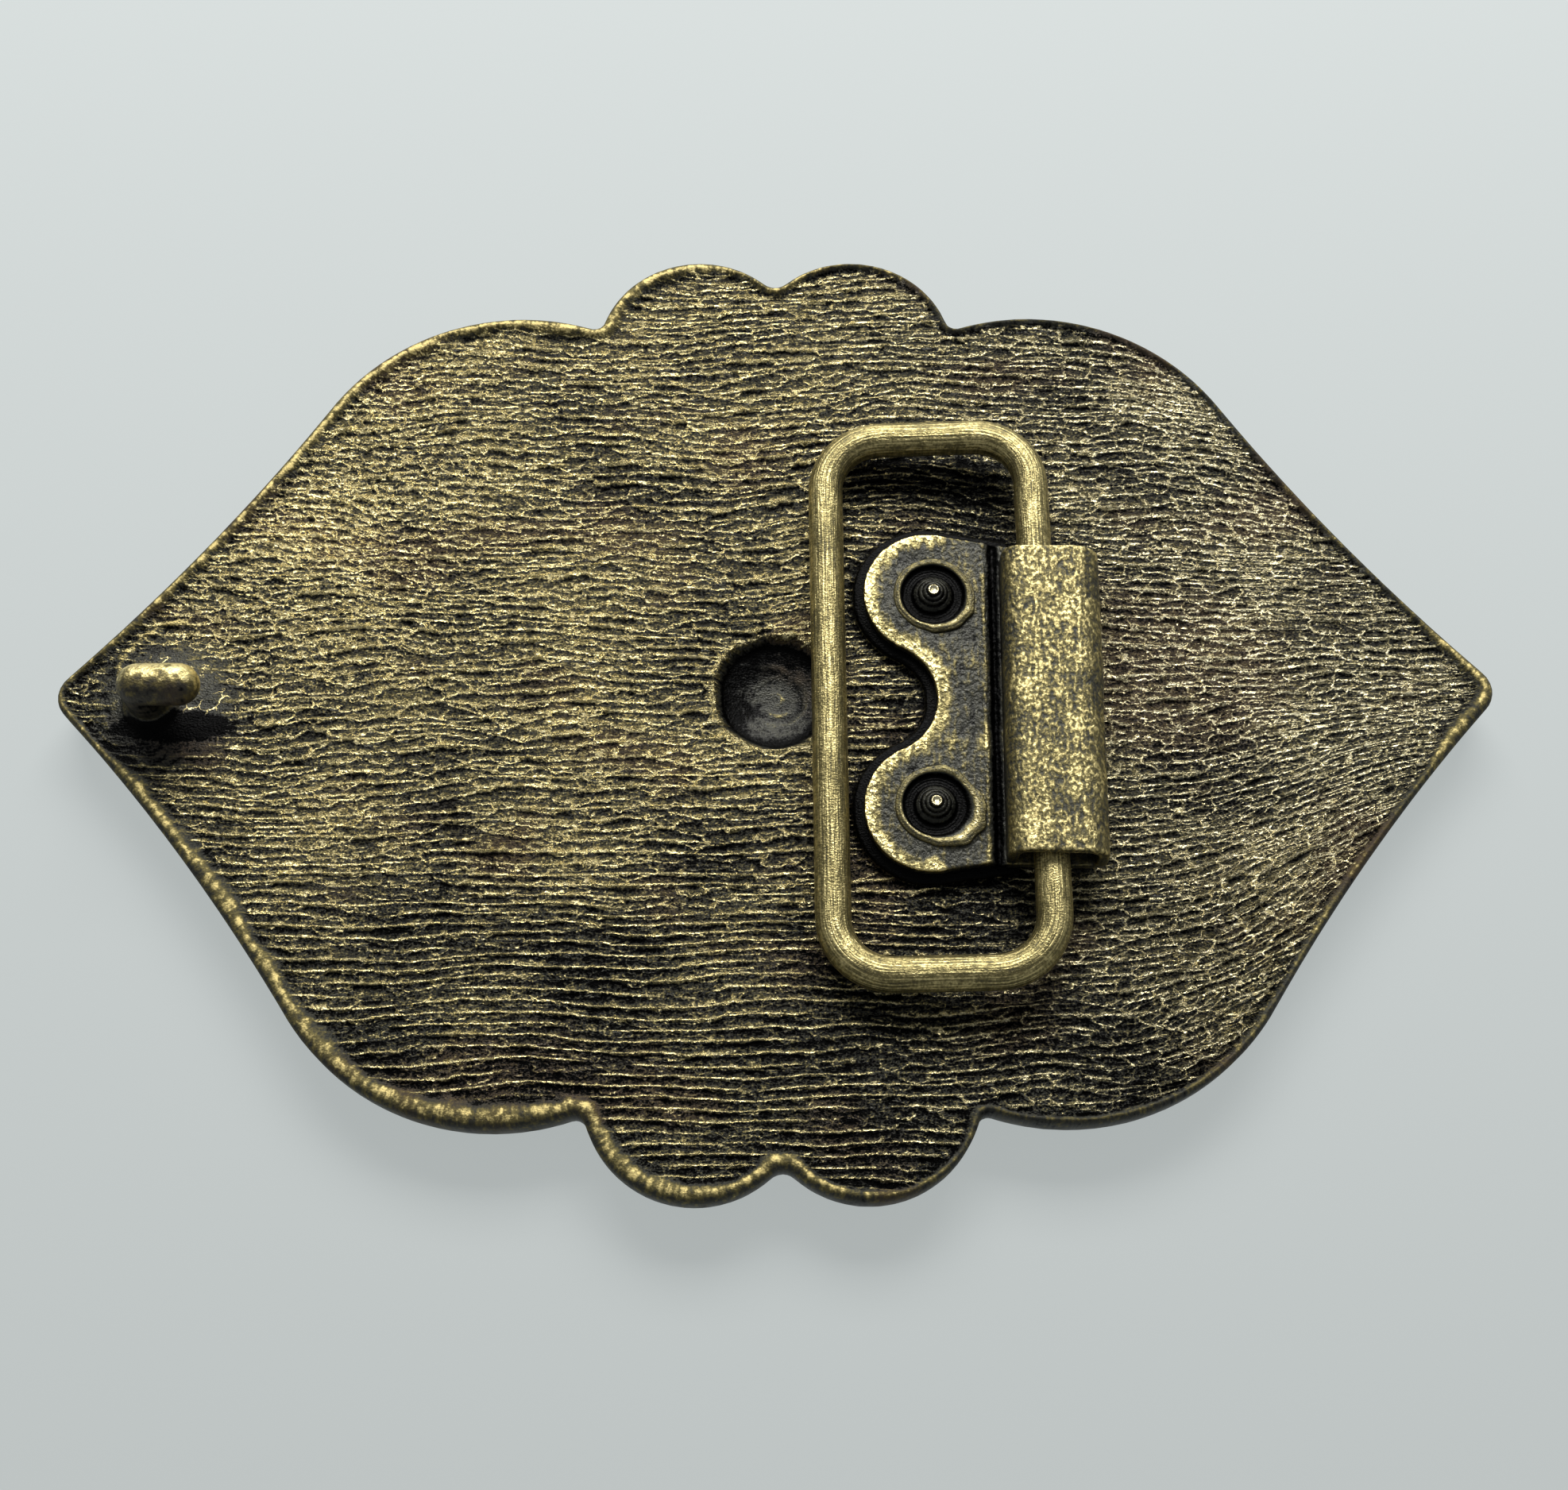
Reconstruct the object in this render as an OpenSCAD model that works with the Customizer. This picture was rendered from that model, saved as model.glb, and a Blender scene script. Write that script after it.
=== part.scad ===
// Cast plate buckle for a 38 mm belt, seen lying face down.
// A cast plate carries a bent hook at one end and, near the other, a stamped
// hinge bracket that holds a swinging wire bail. The belt is sewn round the bail.
// X runs along the buckle, from the hook to the bail. Y runs up. Z leaves the back.
// The origin is on the surface it lies on, below the middle of the plate.

/* [Plate] */
// Half of the plate's length, from its middle to a pointed end
half_len = 53.5; // [52.5:0.5:54.5]
// Radius that rounds each pointed end
tip_r = 2; // [1.6:0.1:2.4]
// Radius of the hollow flank between a pointed end and a shoulder
flank_r = 157; // [140:1:180]
// Radius of the four wide shoulders
shoulder_r = 17.6; // [17.2:0.1:18]
// Radius of the four small lobes
lobe_r = 8; // [7.8:0.1:8.3]
// Thickness of the plate at its middle, without rim and boss
plate_t = 2.6; // [2.2:0.1:3]
// Width of the raised rim round the back
rim_w = 1.5; // [1.2:0.1:1.8]
// Height of the rim over the field inside it
rim_h = 0.4; // [0.2:0.05:0.6]
// Width of the low border round the front
border_w = 4; // [3:0.25:5]
// Height of the border over the front face
border_h = 0.4; // [0.2:0.05:0.5]
// Radius of the flat boss in the middle of the front
boss_r = 13; // [10:0.5:16]
// Height of the boss over the front face
boss_h = 1.6; // [1.2:0.05:2]
// Radius of the round hollow in the middle of the back
dimple_r = 4.9; // [4:0.1:5.2]
// Depth of the round hollow
dimple_depth = 2.2; // [1.2:0.1:2.4]

/* [Hook] */
// Distance of the hook's root from the middle of the plate
hook_x = 46.35; // [45:0.05:47]
// Radius of the hook's round bar
hook_r = 1.55; // [1.4:0.05:1.7]
// Height of the arm's centre line over the plate
hook_h = 3.9; // [3.6:0.1:4.6]
// Length of the arm from the root's axis to the middle of its round tip
hook_arm = 2.9; // [2.5:0.1:3.4]

/* [Bail] */
// Diameter of the bail's wire
wire_d = 2.6; // [2.4:0.1:2.8]
// Length of the bail along the belt's width, between wire centres
bail_w = 42.2; // [41:0.1:44]
// Reach of the bail from the hinge rod to the strap bar, between wire centres
bail_reach = 15.6; // [15:0.1:17]
// Radius of the bail's bends, at the wire's centre
bail_bend = 4.2; // [3.6:0.1:4.6]
// Height of the strap bar's centre line over the middle of the back
bar_h = 1.65; // [1.6:0.05:2.1]

/* [Bracket] */
// Thickness of the bracket's sheet
sheet_t = 0.8; // [0.7:0.05:0.9]
// Height of the cast pad under the bracket, over the middle of the back
pad_h = 0.5; // [0.5:0.05:0.7]
// Radius of the bracket's two round ears
ear_r = 4.9; // [4.6:0.1:5.1]
// Half of the distance between the two ears
ear_half = 8.5; // [8.3:0.05:8.9]
// Width of the rolled barrel, along the buckle
barrel_w = 7.3; // [7:0.1:7.4]
// Length of the rolled barrel
barrel_l = 23.7; // [23:0.1:25]
// Radius of the posts that hold the bracket
post_r = 2.55; // [2.3:0.05:2.6]

/* [Hidden] */
$fn = 96;

// Heights over the surface that the buckle lies on
front_z = boss_h;
back_z = front_z + plate_t;
pad_z = back_z + pad_h;
sheet_z = pad_z + sheet_t;

// Centres of the outline's arcs, in the quarter where x and y are positive
shoulder_c = [20.1, 14.7];
lobe_c = [6.05, 29.5];
tip_c = [half_len - tip_r, 0];
flank_c = meet(tip_c, tip_r + flank_r, shoulder_c, shoulder_r + flank_r);
// The flank's arc bites this much into the arcs next to it, so that it crosses them cleanly
flank_bite = 0.02;
side_fillet = 0.8;
side_c = meet(shoulder_c, shoulder_r + side_fillet, lobe_c, lobe_r + side_fillet);
notch_fillet = 1.2;
notch_c = [0, lobe_c.y + sqrt(pow(lobe_r + notch_fillet, 2) - pow(lobe_c.x, 2))];

// The rounded edge is cut in two steps on the back and one on the front
edge_w = 0.5;
edge_mid = 0.2;
edge_back = 0.25;
edge_front = 0.4;

// The hook stands a little below the middle line
hook_y = -0.5;
lump_r = 4.6;
lump_h = 0.45;
root_r = 2.5;
root_h = 0.9;

// The bail's hinge rod lies in the barrel with this gap all round
rod_gap = 0.12;
wire_r = wire_d / 2;
rod_x = 19.25;
rod_z = sheet_z + rod_gap + wire_r;
bail_y = -1;
bail_tilt = asin((rod_z - back_z - bar_h) / bail_reach);

// The bracket sits a little turned on the plate
bracket_c = [14.75, -1.05];
bracket_turn = -1.2;
ear_x = 11.15 - bracket_c.x;
post_x = 11.45 - bracket_c.x;
post_half = 8.35;
waist_x = 11.7 - bracket_c.x;
crease_x = 16.4 - bracket_c.x;
barrel_y = -0.95;
flat_half = 12.4;
barrel_top = sheet_z + 2 * (rod_gap + wire_r) + sheet_t;
shoulder_left = 1.5;
shoulder_right = 2.1;
heel_r = 1.2;
crease_gap = 0.3;
pad_grow = 0.7;
hole_gap = 0.1;

// The posts are set with a ring punch, which leaves a lip, a groove and a stepped point
lip_r = 2.95;
lip_t = 0.25;
groove_in = 1.45;
groove_out = 2.35;
groove_depth = 0.7;
point_steps = [[1.1, 0.2], [0.8, 0.4], [0.45, 0.65]];

// Crossing of two circles, on the left of the line from the first to the second
function meet(a, ra, b, rb) =
    let (d = norm(b - a))
    let (u = (b - a) / d)
    let (s = (ra * ra - rb * rb + d * d) / (2 * d))
    let (h = sqrt(ra * ra - s * s))
    let (side = (a.x * u.y - a.y * u.x) > 0 ? 1 : -1)
    a + s * u + side * h * [u.y, -u.x];

// Point where a circle touches another one, on the line between their centres
function touch(from, r, to) = from + r * (to - from) / norm(to - from);

// The plate's outline, drawn in by d all round
module outline(d) {
    for (mx = [0, 1], my = [0, 1]) mirror([mx, 0]) mirror([0, my]) difference() {
        union() {
            difference() {
                polygon([
                    [0, 0],
                    tip_c,
                    touch(tip_c, max(tip_r - d, 0), flank_c),
                    touch(shoulder_c, shoulder_r - d, flank_c),
                    shoulder_c,
                    side_c,
                    lobe_c,
                    notch_c
                ]);
                translate(side_c) circle(side_fillet + d);
                translate(notch_c) circle(notch_fillet + d);
            }
            if (d < tip_r) translate(tip_c) circle(tip_r - d);
            translate(shoulder_c) circle(shoulder_r - d, $fn = 180);
            translate(lobe_c) circle(lobe_r - d);
        }
        translate(flank_c) circle(flank_r + d + flank_bite, $fn = 720);
    }
}

// A layer of the plate between two heights, drawn in by d
module layer(d, low, high) {
    translate([0, 0, low]) linear_extrude(high - low) outline(d);
}

module dimple() {
    translate([-0.25, 0.15, back_z - dimple_depth])
        cylinder(h = dimple_depth + 1, r1 = 0.72 * dimple_r, r2 = 1.09 * dimple_r);
}

module hook() {
    lump_ball = (lump_r * lump_r + lump_h * lump_h) / (2 * lump_h);
    translate([-hook_x, hook_y, back_z]) {
        intersection() {
            translate([0, 0, lump_h - lump_ball]) sphere(lump_ball, $fn = 240);
            translate([0, 0, -1]) cylinder(h = 2, r = lump_r - 0.05);
        }
        cylinder(h = root_h, r1 = root_r, r2 = hook_r);
        translate([0, 0, -1]) cylinder(h = hook_h + 1, r = hook_r);
        translate([0, 0, hook_h]) sphere(hook_r);
        translate([0, 0, hook_h]) rotate([0, 90, 0]) cylinder(h = hook_arm, r = hook_r);
        translate([hook_arm, 0, hook_h]) sphere(hook_r);
    }
}

// Places a child in the bracket's own turned frame
module on_bracket() {
    translate(bracket_c) rotate(bracket_turn) children();
}

// Plan of the bracket's flat leaf, grown by g all round
module leaf(g) {
    waist_r = waist_circle();
    difference() {
        union() {
            for (s = [-1, 1]) translate([ear_x, s * ear_half]) circle(ear_r + g);
            polygon([
                [ear_x, -ear_half - ear_r - g],
                [crease_x + 1, -flat_half - g],
                [crease_x + 1, flat_half + g],
                [ear_x, ear_half + ear_r + g]
            ]);
            translate([ear_x - ear_r / 2, -ear_half]) square([ear_r, 2 * ear_half]);
        }
        translate([waist_x - waist_r, 0]) circle(waist_r - g);
    }
}

// Radius of the waist's hollow, which touches both ears
function waist_circle() =
    let (k = waist_x - ear_x)
    (ear_half * ear_half + k * k - ear_r * ear_r) / (2 * (k + ear_r));

module post(s) {
    lip_shift = s > 0 ? [0.35, -0.25] : [0.75, -0.6];
    translate([post_x, s * post_half, 0]) difference() {
        union() {
            translate([0, 0, pad_z - 1]) cylinder(h = sheet_t + 1.3, r = post_r);
            translate([0, 0, sheet_z + 0.05]) cylinder(h = lip_t, r = lip_r);
            translate([lip_shift.x, lip_shift.y, sheet_z + 0.05]) cylinder(h = 0.15, r = lip_r);
        }
        translate([0, 0, sheet_z + 0.3 - groove_depth]) difference() {
            cylinder(h = 2, r = groove_out);
            translate([0, 0, -1]) cylinder(h = 4, r = groove_in);
        }
    }
    for (p = point_steps) translate([post_x, s * post_half, sheet_z])
        cylinder(h = 0.3 + p[1], r = p[0]);
}

// Solid of the plate with its rim and border, before the dimple is sunk into it
module blank() {
    rim_z = back_z + rim_h;
    low_z = front_z - border_h;
    difference() {
        union() {
            layer(0, low_z + edge_front, rim_z - 2 * edge_back);
            layer(edge_mid, low_z + edge_front / 2, rim_z - edge_back);
            layer(edge_w, low_z, rim_z);
        }
        // Field inside the rim on the back, and inside the border on the front
        layer(rim_w, back_z, rim_z + 1);
        layer(border_w, low_z - 1, front_z);
    }
    cylinder(h = boss_h + 0.3, r1 = boss_r - 0.8, r2 = boss_r + 0.7);
}

module plate() {
    color("darkgoldenrod") {
        difference() {
            blank();
            dimple();
        }
        hook();
        on_bracket() {
            intersection() {
                translate([0, 0, back_z - 1]) linear_extrude(pad_h + 1) leaf(pad_grow);
                translate([-20, -20, back_z - 1]) cube([20 + crease_x + 2, 40, 5]);
            }
            for (s = [-1, 1]) post(s);
        }
    }
}

// Section of the rolled barrel, drawn with x along the buckle and y for height
module barrel_section() {
    right = crease_x + barrel_w;
    difference() {
        barrel_shape(crease_x, right, pad_z, barrel_top, 0);
        barrel_shape(crease_x, right, pad_z, barrel_top, sheet_t);
        // The rolled edge stops just above the leaf
        translate([crease_x - 1, sheet_z]) square([sheet_t + 1.4, crease_gap]);
    }
    // The leaf runs on under the rod
    translate([crease_x - 0.5, pad_z]) square([barrel_w / 2, sheet_t]);
}

// Box with four round corners, drawn in by d all round
module barrel_shape(left, right, bottom, top, d) {
    corners = [
        [left + shoulder_left, top - shoulder_left, shoulder_left],
        [right - shoulder_right, top - shoulder_right, shoulder_right],
        [right - heel_r, bottom + heel_r, heel_r],
        [left + heel_r, bottom + heel_r, heel_r]
    ];
    for (c = corners) translate([c.x, c.y]) circle(max(c.z - d, 0.3));
    polygon([
        [left + d, bottom + heel_r],
        [left + heel_r, bottom + d],
        [right - heel_r, bottom + d],
        [right - d, bottom + heel_r],
        [right - d, top - shoulder_right],
        [right - shoulder_right, top - d],
        [left + shoulder_left, top - d],
        [left + d, top - shoulder_left]
    ]);
}

module bracket() {
    color("peru") on_bracket() difference() {
        union() {
            translate([0, 0, pad_z]) linear_extrude(sheet_t) leaf(0);
            translate([0, barrel_y + barrel_l / 2, 0]) rotate([90, 0, 0])
                linear_extrude(barrel_l) barrel_section();
        }
        for (s = [-1, 1]) translate([post_x, s * post_half, pad_z - 1])
            cylinder(h = sheet_t + 2, r = post_r + hole_gap);
    }
}

// One side of the bail and the bend that follows it, along +X from a corner
module bail_side(length) {
    rotate([0, 90, 0]) cylinder(h = length, r = wire_r);
    translate([length, bail_bend, 0]) rotate(-90)
        rotate_extrude(angle = 90) translate([bail_bend, 0]) circle(wire_r);
}

module bail() {
    straight_w = bail_w - 2 * bail_bend;
    straight_r = bail_reach - 2 * bail_bend;
    color("goldenrod") translate([rod_x, bail_y, rod_z]) rotate([0, -bail_tilt, 0]) {
        translate([-bail_reach + bail_bend, -bail_w / 2, 0]) bail_side(straight_r);
        translate([0, -bail_w / 2 + bail_bend, 0]) rotate(90) bail_side(straight_w);
        translate([-bail_bend, bail_w / 2, 0]) rotate(180) bail_side(straight_r);
        translate([-bail_reach, bail_w / 2 - bail_bend, 0]) rotate(270) bail_side(straight_w);
    }
}

plate();
bracket();
bail();
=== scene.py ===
# %% [markdown]
# # A cast belt buckle, seen from its back
# The buckle lies face down on a pale table. Its plate was cast in brass, blackened and then rubbed,
# so the crests of its wrinkled back shine and the hollows stay dark. A hook stands near the left
# point. A stamped bracket near the right holds a wire bail, which the belt is sewn round.
# Every size below is in millimetres and is turned into Blender's metres at the last step.

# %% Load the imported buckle
import math

import bpy
import numpy as np
from mathutils import Euler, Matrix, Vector


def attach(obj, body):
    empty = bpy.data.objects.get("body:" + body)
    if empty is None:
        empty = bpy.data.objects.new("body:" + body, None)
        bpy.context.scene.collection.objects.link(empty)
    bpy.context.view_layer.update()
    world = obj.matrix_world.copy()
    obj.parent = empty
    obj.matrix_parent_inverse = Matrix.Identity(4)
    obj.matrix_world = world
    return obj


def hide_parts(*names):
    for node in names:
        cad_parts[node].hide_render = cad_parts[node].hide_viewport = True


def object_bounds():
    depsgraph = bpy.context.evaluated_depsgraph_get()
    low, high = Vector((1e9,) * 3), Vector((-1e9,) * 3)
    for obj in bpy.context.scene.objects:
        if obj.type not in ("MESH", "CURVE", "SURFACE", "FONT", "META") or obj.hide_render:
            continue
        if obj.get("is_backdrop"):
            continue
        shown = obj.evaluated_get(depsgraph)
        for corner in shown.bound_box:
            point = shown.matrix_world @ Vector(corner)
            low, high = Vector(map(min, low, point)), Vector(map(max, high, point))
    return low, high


MM = 0.001
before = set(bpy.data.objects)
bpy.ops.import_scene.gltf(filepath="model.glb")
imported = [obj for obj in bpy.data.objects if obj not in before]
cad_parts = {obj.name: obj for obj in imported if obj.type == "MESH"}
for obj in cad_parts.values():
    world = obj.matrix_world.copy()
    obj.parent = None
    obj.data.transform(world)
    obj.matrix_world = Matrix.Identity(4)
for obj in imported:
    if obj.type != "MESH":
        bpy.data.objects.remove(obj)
cad_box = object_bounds()
print("packed box in mm:", [[round(c / MM, 2) for c in corner] for corner in cad_box])

# %% [markdown]
# ## The photograph's view
# The camera stands high above the lower edge of the picture and looks back at the buckle, tilted
# by about 21 degrees. It was worked out from the outline, so no piece is fitted by eye.

# %% Camera
def new_object(name, data):
    """A new object in the scene."""
    obj = bpy.data.objects.new(name, data)
    bpy.context.scene.collection.objects.link(obj)
    return obj


BACK_Z = 4.2
PHOTO_WIDTH, FOCAL_PIXELS = 1974, 2600
camera_data = bpy.data.cameras.new("camera")
camera_data.sensor_width = 36
camera_data.lens = FOCAL_PIXELS / PHOTO_WIDTH * camera_data.sensor_width
camera_data.clip_start, camera_data.clip_end = 0.005, 5
camera = new_object("camera", camera_data)
camera.location = Vector((-1.832, -57.896, 142.47 + BACK_Z)) * MM
camera.rotation_euler = Euler([math.radians(a) for a in (20.664, -0.679, -0.532)])
bpy.context.scene.camera = camera

# %% [markdown]
# ## Table and light
# A real table is never pure white, so it gets a pale cool grey. One wide soft light hangs beyond
# the top of the picture. It rakes the wrinkles and lays a soft shadow below the lower edge. The
# table also glows a little, a bit less towards the lower edge of the picture, so its shadow stays
# faint. It lies a hair below the buckle, because two faces in one plane would flicker.

# %% Table and lights
def select_only(obj=None):
    """Selects one object or none, because an operator acts on all that is selected."""
    for other in bpy.context.selected_objects:
        other.select_set(False)
    if obj:
        bpy.context.view_layer.objects.active = obj
        obj.select_set(True)


TABLE_SIZE, TABLE_DROP = 3000, 0.02
GLOW = {"From Min": -110 * MM, "From Max": 110 * MM, "To Min": 0.355, "To Max": 0.565}
select_only()
bpy.ops.mesh.primitive_plane_add(size=TABLE_SIZE * MM, location=(0, 0, -TABLE_DROP * MM))
table = bpy.context.object
table.name = "table"
table_paint = bpy.data.materials.new("table_paint")
table_paint.use_nodes = True
shader = table_paint.node_tree.nodes["Principled BSDF"]
shader.inputs["Base Color"].default_value = (0.12, 0.128, 0.130, 1)
shader.inputs["Emission Color"].default_value = (0.93, 1.0, 0.99, 1)
shader.inputs["Roughness"].default_value = 0.75
nodes, links = table_paint.node_tree.nodes, table_paint.node_tree.links
split, glow = nodes.new("ShaderNodeSeparateXYZ"), nodes.new("ShaderNodeMapRange")
links.new(nodes.new("ShaderNodeTexCoord").outputs["Object"], split.inputs[0])
links.new(split.outputs["Y"], glow.inputs["Value"])
for name, value in GLOW.items():
    glow.inputs[name].default_value = value
links.new(glow.outputs["Result"], shader.inputs["Emission Strength"])
table_paint.cycles.emission_sampling = "NONE"
table.data.materials.append(table_paint)
table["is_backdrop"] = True


def soft_light(name, place, size, watts, colour):
    """A rectangular lamp that looks at the buckle. Its place and size are in metres."""
    data = bpy.data.lights.new(name, "AREA")
    data.shape, data.size, data.size_y = "RECTANGLE", size[0], size[1]
    data.energy, data.color = watts, colour
    lamp = new_object(name, data)
    lamp.location = place
    lamp.rotation_euler = (-Vector(place)).to_track_quat("-Z", "Y").to_euler()


soft_light("window", (0.03, 0.56, 0.50), (0.66, 0.32), 8.4, (1, 0.985, 0.955))
world = bpy.data.worlds.new("room")
bpy.context.scene.world = world
world.use_nodes = True
world.node_tree.nodes["Background"].inputs["Color"].default_value = (0.93, 0.97, 1.0, 1)
world.node_tree.nodes["Background"].inputs["Strength"].default_value = 0.25
bpy.context.scene.view_settings.view_transform = "Standard"

# %% [markdown]
# ## One drawing for every outline
# The plate's edge is made of six round arcs in each quarter, and every arc runs smoothly into the
# next. A short list of centres and radii therefore draws the whole edge, and it also tells how far
# any point lies inside the edge, which the rim needs.

# %% The plate's arcs
def half_turn(angle):
    """The same angle between minus and plus half a turn."""
    return (angle + math.pi) % (2 * math.pi) - math.pi


def touch(centre, radius, other):
    """Point of a circle on the line towards another centre."""
    return centre + radius * (other - centre) / np.linalg.norm(other - centre)


def meet(a, ra, b, rb):
    """Crossing of two circles that lies to the left of the line from a to b, seen from above."""
    d = np.linalg.norm(b - a)
    u = (b - a) / d
    s = (ra * ra - rb * rb + d * d) / (2 * d)
    side = 1 if a[0] * u[1] - a[1] * u[0] > 0 else -1
    return a + s * u + side * math.sqrt(ra * ra - s * s) * np.array([u[1], -u[0]])


TIP_X = 53.5
TIP_R, FLANK_R, SHOULDER_R, SIDE_R, LOBE_R, NOTCH_R = 2.0, 157.0, 17.6, 0.8, 8.0, 1.2
tip_c, shoulder_c, lobe_c = np.array([(TIP_X - TIP_R, 0), (20.1, 14.7), (6.05, 29.5)])
flank_c = meet(tip_c, TIP_R + FLANK_R, shoulder_c, SHOULDER_R + FLANK_R)
side_c = meet(shoulder_c, SHOULDER_R + SIDE_R, lobe_c, LOBE_R + SIDE_R)
notch_c = np.array([0, lobe_c[1] + math.sqrt((LOBE_R + NOTCH_R) ** 2 - lobe_c[0] ** 2)])


def arc(centre, radius, start, end, bulge):
    """An arc's centre, radius, first angle and sweep, and whether it bulges out or in."""
    a = math.atan2(*(start - centre)[::-1])
    b = math.atan2(*(end - centre)[::-1])
    return centre, radius, a, half_turn(b - a), bulge


joins = [
    np.array([TIP_X, 0]),
    touch(tip_c, TIP_R, flank_c),
    touch(shoulder_c, SHOULDER_R, flank_c),
    touch(shoulder_c, SHOULDER_R, side_c),
    touch(lobe_c, LOBE_R, side_c),
    touch(lobe_c, LOBE_R, notch_c),
    notch_c - np.array([0, NOTCH_R]),
]
circles = [
    (tip_c, TIP_R, 1), (flank_c, FLANK_R, -1), (shoulder_c, SHOULDER_R, 1),
    (side_c, SIDE_R, -1), (lobe_c, LOBE_R, 1), (notch_c, NOTCH_R, -1),
]
EDGE_ARCS = [arc(c, r, joins[i], joins[i + 1], out) for i, (c, r, out) in enumerate(circles)]


def edge_points(step=0.3):
    """The whole edge as one closed loop of points, counterclockwise."""
    quarter = []
    for centre, radius, start, sweep, _ in EDGE_ARCS:
        n = max(2, math.ceil(abs(sweep) * radius / step))
        for t in start + sweep * np.arange(n) / n:
            quarter.append((centre[0] + radius * math.cos(t), centre[1] + radius * math.sin(t)))
    q = np.array(quarter)
    half = np.vstack([q, [joins[-1]], q[:0:-1] * [-1, 1]])
    return np.vstack([half, [[-TIP_X, 0]], half[:0:-1] * [1, -1]])


def inside_by(x, y):
    """How far each point lies inside the edge, and how far along a quarter of the edge, in mm."""
    px, py = np.abs(x), np.abs(y)
    best, along, passed = np.full(px.shape, 30.0), np.zeros(px.shape), 0.0
    for centre, radius, start, sweep, bulge in EDGE_ARCS:
        dx, dy = px - centre[0], py - centre[1]
        turn = half_turn(np.arctan2(dy, dx) - start)
        share = turn / sweep
        d = bulge * (radius - np.hypot(dx, dy))
        nearer = (share > -0.02) & (share < 1.02) & (d > -0.5) & (d < best)
        best = np.where(nearer, d, best)
        along = np.where(nearer, passed + share * abs(sweep) * radius, along)
        passed += abs(sweep) * radius
    return best, along


edge = edge_points()
print("edge loop:", len(edge), "points, box", edge.min(0).round(2), edge.max(0).round(2))

# %% [markdown]
# ## Blocks that are cast together
# The plate, the pad under the bracket and the hook are one casting, so they are modelled as
# overlapping blocks and then melted into one closed skin with a voxel remesh. That rounds every
# inner corner a little, as molten metal does, and gives even faces that can carry relief.

# %% Helpers for blocks
def edit_whole(obj, action=None, weld=None):
    """Acts on the whole mesh, may weld corners nearer than weld, and turns all faces outward."""
    select_only(obj)
    bpy.ops.object.mode_set(mode="EDIT")
    bpy.ops.mesh.select_all(action="SELECT")
    if action:
        action()
        bpy.ops.mesh.select_all(action="SELECT")
    if weld:
        bpy.ops.mesh.remove_doubles(threshold=weld * MM)
    bpy.ops.mesh.normals_make_consistent(inside=False)
    bpy.ops.object.mode_set(mode="OBJECT")


def shade_smooth(obj):
    select_only(obj)
    bpy.ops.object.shade_smooth()


def slab_from(points, low, high, name):
    """A closed loop of points filled and extruded from one height to another."""
    mesh = bpy.data.meshes.new(name)
    corners = [(x * MM, y * MM, low * MM) for x, y in points]
    mesh.from_pydata(corners, [], [tuple(range(len(points)))])
    obj = new_object(name, mesh)
    rise = {"value": (0, 0, (high - low) * MM)}
    edit_whole(obj, lambda: bpy.ops.mesh.extrude_region_move(TRANSFORM_OT_translate=rise))
    return obj


def modify(obj, kind, **settings):
    """Adds a modifier, sets it and applies it."""
    select_only(obj)
    modifier = obj.modifiers.new("step", kind)
    for key, value in settings.items():
        setattr(modifier, key, value)
    bpy.ops.object.modifier_apply(modifier=modifier.name)


def settle(obj):
    """Moves an object's place into its mesh, so that it sits at the origin."""
    select_only(obj)
    bpy.ops.object.transform_apply(location=True, rotation=True, scale=True)


def corners_of(obj):
    co = np.empty(len(obj.data.vertices) * 3, np.float32)
    obj.data.vertices.foreach_get("co", co)
    return co.reshape(-1, 3) / MM


def put_corners(obj, co):
    obj.data.vertices.foreach_set("co", (co * MM).astype(np.float32).ravel())
    obj.data.update()


def store(obj, name, values):
    """Keeps one number per corner of the mesh, for the relief and the finish to read."""
    attribute = obj.data.attributes.new(name, "FLOAT", "POINT")
    attribute.data.foreach_set("value", values.astype(np.float32))


# %% [markdown]
# The slab's top starts at the height of the rim. Its outer edges are bevelled round. The field
# inside the rim is sunk later, with the relief.

# %% The plate's slab
RIM_Z, BORDER_Z = 4.6, 1.2
plate = slab_from(edge, BORDER_Z, RIM_Z, "cast_plate")
modify(
    plate, "BEVEL", width=0.75 * MM, segments=5, limit_method="ANGLE", angle_limit=math.radians(60))
print("slab:", len(plate.data.polygons), "faces")

# %% [markdown]
# The hook is a short round post, bent over by a quarter turn. It is two rods that meet in a ball,
# with a second ball at the arm's end and a short cone as its foot.

# %% The hook
HOOK_X, HOOK_Y, HOOK_R, HOOK_H, HOOK_ARM = -46.35, -0.75, 1.55, 3.9, 2.9


def ball(place, radius, name):
    bpy.ops.mesh.primitive_uv_sphere_add(
        segments=48, ring_count=24, radius=radius * MM, location=[c * MM for c in place])
    bpy.context.object.name = name
    return bpy.context.object


def rod(start, end, radius, name, radius_end=None):
    """A round rod between two points, which may taper."""
    a, b = Vector(start) * MM, Vector(end) * MM
    bpy.ops.mesh.primitive_cone_add(
        vertices=64, radius1=radius * MM, radius2=(radius_end or radius) * MM, depth=(b - a).length,
        location=(a + b) / 2, rotation=(b - a).to_track_quat("Z", "Y").to_euler())
    bpy.context.object.name = name
    return bpy.context.object


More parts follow.
